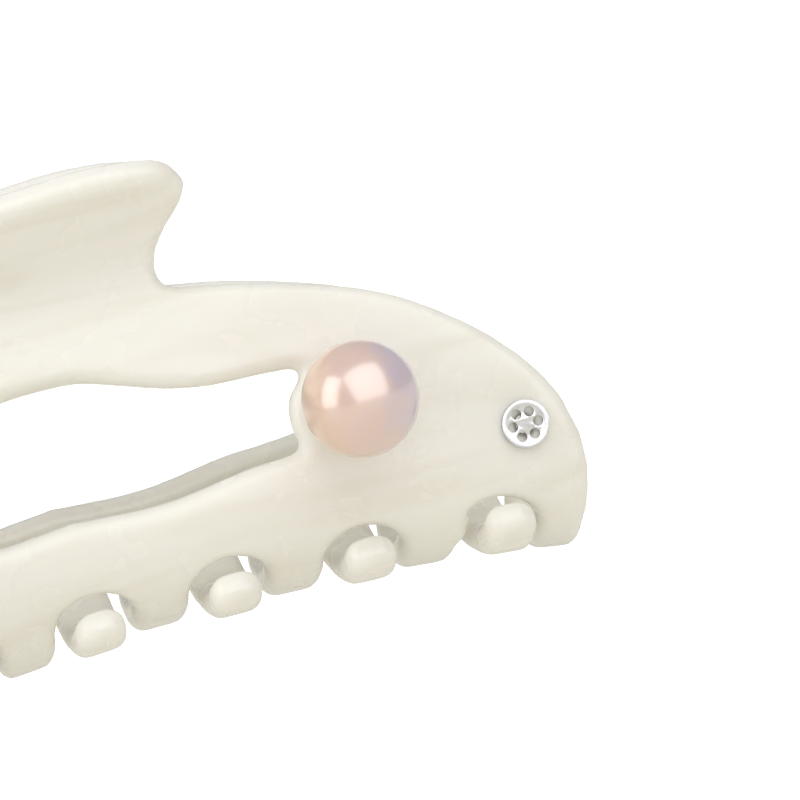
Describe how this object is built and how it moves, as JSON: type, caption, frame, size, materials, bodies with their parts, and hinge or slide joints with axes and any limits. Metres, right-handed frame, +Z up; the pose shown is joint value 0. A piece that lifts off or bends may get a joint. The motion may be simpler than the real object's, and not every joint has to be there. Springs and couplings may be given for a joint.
{
  "type": "hair claw clip",
  "caption": "Large hair claw clip: two curved acetate jaws with interlocking hooked teeth on a sprung pin hinge, each front shoulder set with a pearl, and a small round pierced badge.",
  "frame": {"origin": "on the level of the lowest teeth, below the middle of the whole clip's box, pearls included", "axes": "+X along the clip's length and its hinge axis, +Y from the pearl side to the plain side, +Z up through the thumb tabs"},
  "size_m": [0.0988, 0.0322, 0.0484],
  "materials": {
    "acetate": "polished ivory cellulose acetate with faint swirls",
    "pearl": "lustrous pink pearl",
    "silver": "polished silver plate",
    "steel": "bright spring steel"
  },
  "bodies": {
    "front": {"front_jaw": "acetate", "front_knuckle_left": "acetate", "front_knuckle_right": "acetate", "hinge_pin": "steel", "pin_cap": "steel", "torsion_spring": "steel", "pearl_left": "pearl", "pearl_right": "pearl", "pearl_cup_left": "silver", "pearl_cup_right": "silver", "badge": "silver"},
    "rear": {"rear_jaw": "acetate", "rear_knuckle_left": "acetate", "rear_knuckle_right": "acetate"}
  },
  "joints": [
    {"name": "jaw_hinge", "type": "hinge", "parent": "front", "child": "rear", "pos_m": [0, 0.00471, 0.03643], "axis": [1, 0, 0], "range_deg": [0, 65], "stiffness_Nm_per_rad": 0.25, "springref_deg": -34.38, "deforming": ["torsion_spring"]}
  ]
}
